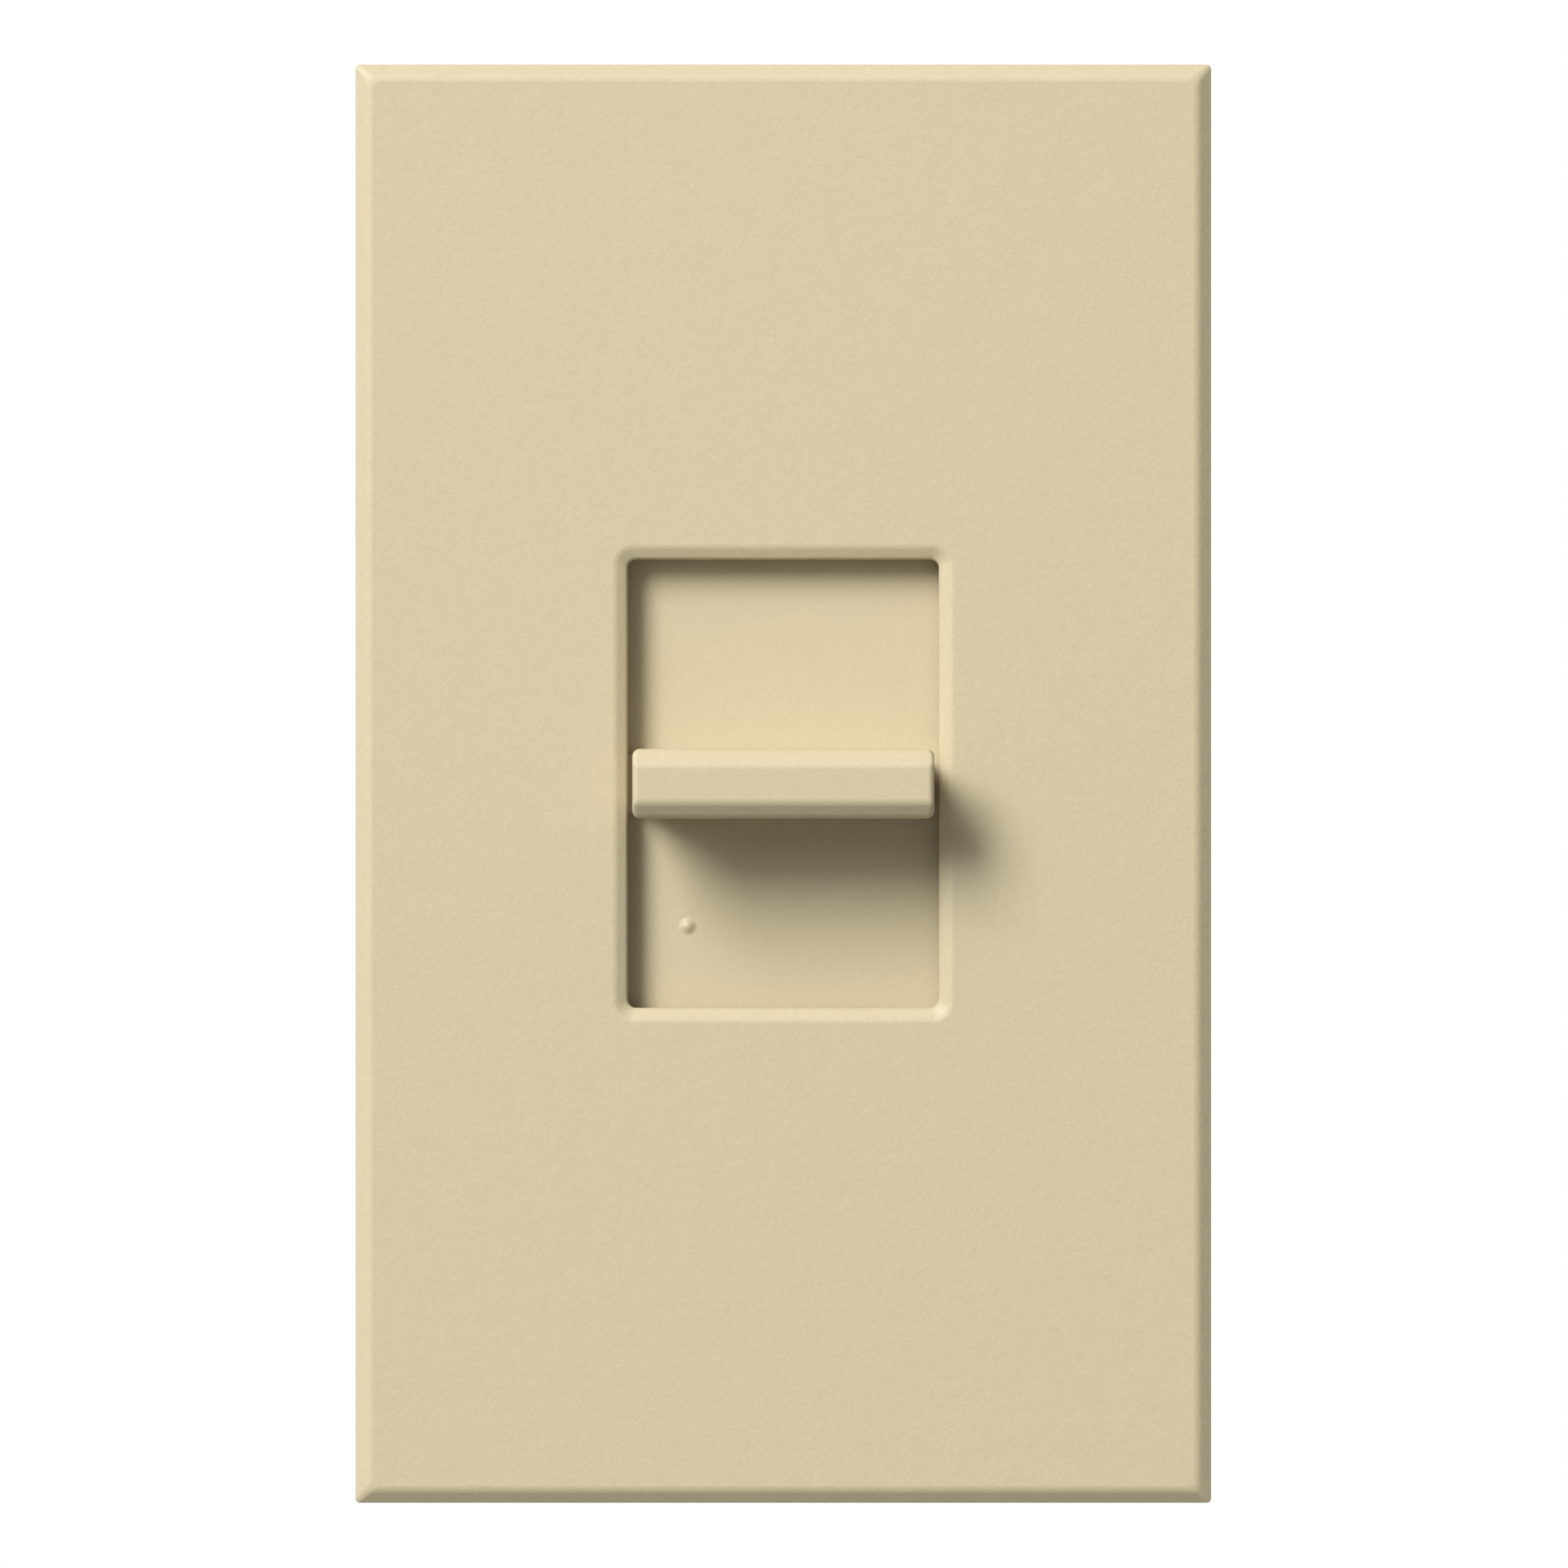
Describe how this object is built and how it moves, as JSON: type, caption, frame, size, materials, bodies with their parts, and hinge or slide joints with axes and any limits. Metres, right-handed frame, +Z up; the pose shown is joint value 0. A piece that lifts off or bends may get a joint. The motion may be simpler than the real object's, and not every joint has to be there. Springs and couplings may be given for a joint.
{
  "type": "slide dimmer wall switch",
  "caption": "Single-gang slide dimmer for a wall box: ivory clip-on cover with a recessed window, in which a bevelled bar slides up and down to set the level or switch off.",
  "frame": {"origin": "middle of the switch on the wall surface, between the two box screws", "axes": "+Z up, +X to the right as one faces the switch, +Y into the wall; the cover faces -Y"},
  "size_m": [0.0698, 0.044, 0.1174],
  "materials": {
    "ivory_plastic": "moulded ivory, fine matte texture",
    "black_acetal": "natural satin black acetal",
    "black_nylon": "moulded black thermoplastic, spark-eroded texture",
    "spring_bronze": "rolled phosphor bronze strip",
    "plate_aluminium": "pressed sheet, mill finish",
    "zinc_steel": "bright zinc plate",
    "red_fibre": "vulcanised fibre sheet",
    "label_stock": "blank silver polyester label",
    "phenolic_track": "paper phenolic with printed carbon track",
    "phenolic_switch": "dark red thermoset",
    "plunger_nylon": "natural nylon",
    "triac_epoxy": "moulded epoxy",
    "tinned_copper": "tin-plated copper",
    "pad_silicone": "filled silicone sheet",
    "board_laminate": "glass laminate with solder resist",
    "core_paint": "painted iron powder",
    "magnet_wire": "enamelled copper",
    "film_case": "moulded yellow box",
    "dipped_epoxy": "dipped resin",
    "resistor_coat": "baked lacquer with colour bands",
    "diac_glass": "coated glass bead",
    "terminal_brass": "bright brass",
    "ground_green": "green dyed zinc plate"
  },
  "bodies": {
    "base": {"faceplate": "ivory_plastic", "recess_panel": "ivory_plastic", "heat_sink_plate": "plate_aluminium", "slider_frame": "black_nylon", "rear_housing": "black_nylon", "rating_label": "label_stock", "mounting_screw_top": "zinc_steel", "mounting_screw_bottom": "zinc_steel", "screw_retainer_top": "red_fibre", "screw_retainer_bottom": "red_fibre", "housing_screw_1": "zinc_steel", "housing_screw_2": "zinc_steel", "housing_screw_3": "zinc_steel", "housing_screw_4": "zinc_steel", "ground_screw": "ground_green", "pot_case": "zinc_steel", "pot_track": "phenolic_track", "switch_body": "phenolic_switch", "switch_pin": "zinc_steel", "triac_tab": "tinned_copper", "triac_body": "triac_epoxy", "triac_screw": "zinc_steel", "triac_pad": "pad_silicone", "triac_lead_1": "tinned_copper", "triac_lead_2": "tinned_copper", "triac_lead_3": "tinned_copper", "circuit_board": "board_laminate", "choke_core": "core_paint", "choke_winding": "magnet_wire", "film_capacitor": "film_case", "timing_capacitor": "dipped_epoxy", "resistor_1": "resistor_coat", "resistor_2": "resistor_coat", "diac": "diac_glass", "terminal_plate_line": "terminal_brass", "terminal_clamp_line": "terminal_brass", "terminal_screw_line": "terminal_brass", "terminal_plate_load": "terminal_brass", "terminal_clamp_load": "terminal_brass", "terminal_screw_load": "terminal_brass"},
    "slider": {"slider_knob": "ivory_plastic", "slider_carriage": "black_acetal", "drag_spring_right": "spring_bronze", "drag_spring_left": "spring_bronze", "pot_lever": "black_acetal", "pot_wiper": "spring_bronze"},
    "switch_lever": {"switch_lever": "spring_bronze"},
    "switch_plunger": {"switch_plunger": "plunger_nylon"}
  },
  "joints": [
    {"name": "slider_travel", "type": "slide", "parent": "base", "child": "slider", "axis": [0, 0, 1], "range_m": [-0.015, 0.015]},
    {"name": "switch_lever_pivot", "type": "hinge", "parent": "base", "child": "switch_lever", "pos_m": [0.0101, 0.00275, -0.0264], "axis": [-1, 0, 0], "range_deg": [0, 7.5], "stiffness_Nm_per_rad": 0.02},
    {"name": "switch_plunger_travel", "type": "slide", "parent": "base", "child": "switch_plunger", "axis": [0, 1, 0], "range_m": [0, 0.0006]}
  ],
  "couplings": [
    {"joint": "switch_plunger_travel", "follows": "switch_lever_pivot", "m_per_rad": 0.00458}
  ]
}
